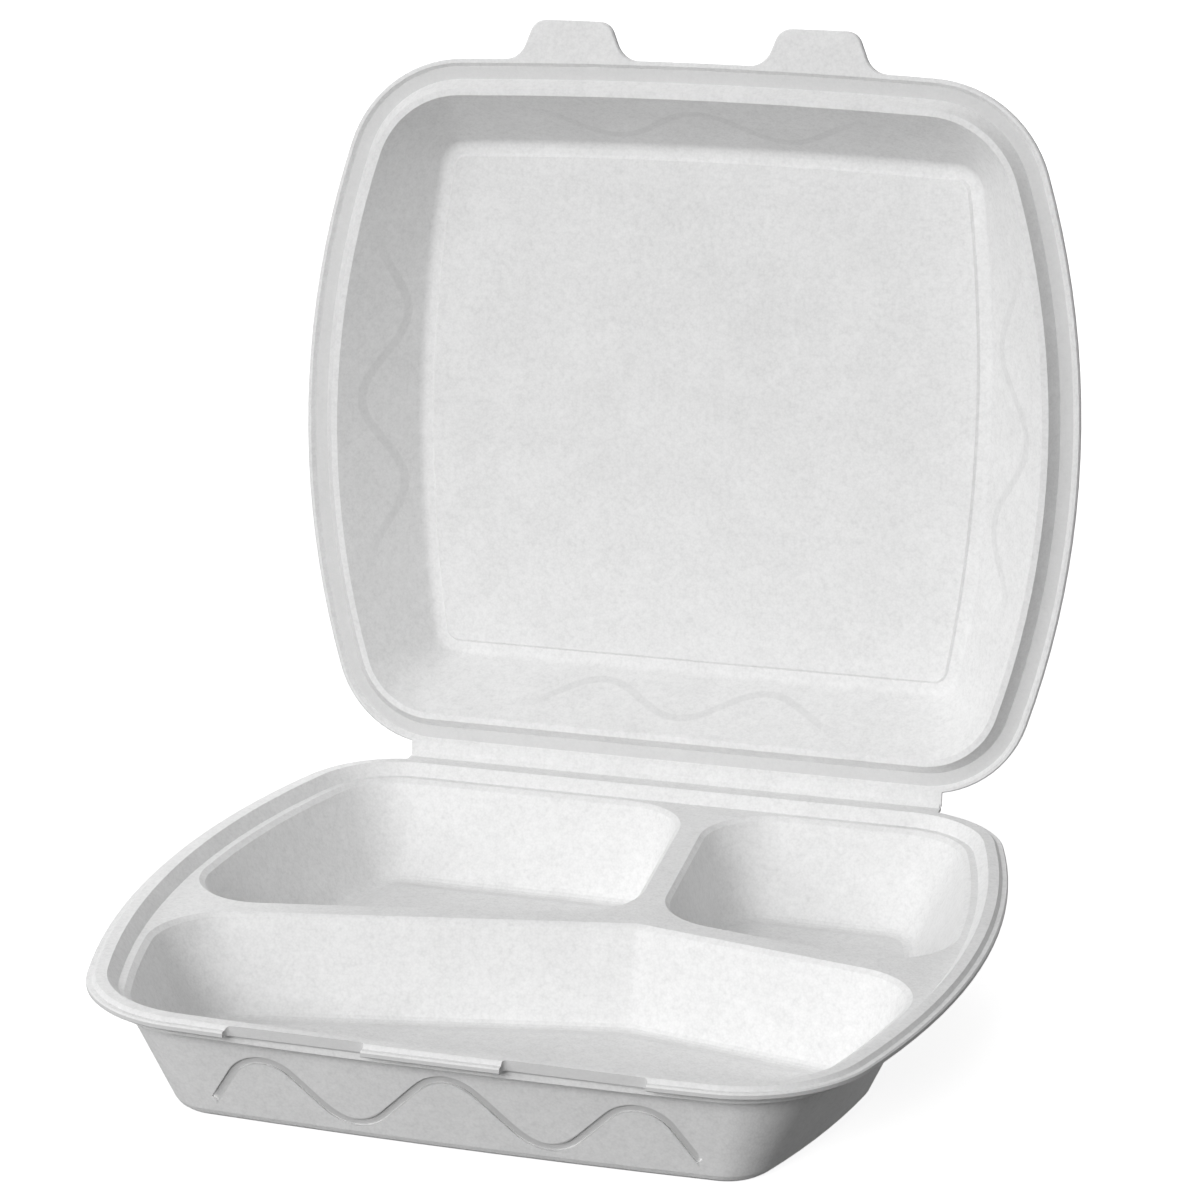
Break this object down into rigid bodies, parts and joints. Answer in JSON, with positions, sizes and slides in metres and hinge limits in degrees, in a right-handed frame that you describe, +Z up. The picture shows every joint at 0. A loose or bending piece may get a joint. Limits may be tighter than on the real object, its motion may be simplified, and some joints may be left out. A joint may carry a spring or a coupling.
{
  "type": "foam clamshell container",
  "caption": "Square white foam take-away box with bulging sides, a tray of compartments, a hinged lid with front tabs and a pressed wave line.",
  "frame": {"origin": "bottom centre of the box around the open container, at the level of the surface that it stands on", "axes": "+Z up, +X to the right along the hinge, +Y from the front edge towards the hinge"},
  "size_m": [0.24, 0.2583, 0.2592],
  "materials": {
    "foam": "matt white foam with fine cells"
  },
  "bodies": {
    "tray": {"tray": "foam"},
    "lid": {"lid": "foam"}
  },
  "joints": [
    {"name": "lid_hinge", "type": "hinge", "parent": "tray", "child": "lid", "pos_m": [0, 0.0872, 0.033], "axis": [1, 0, 0], "range_deg": [-84, 96]}
  ]
}
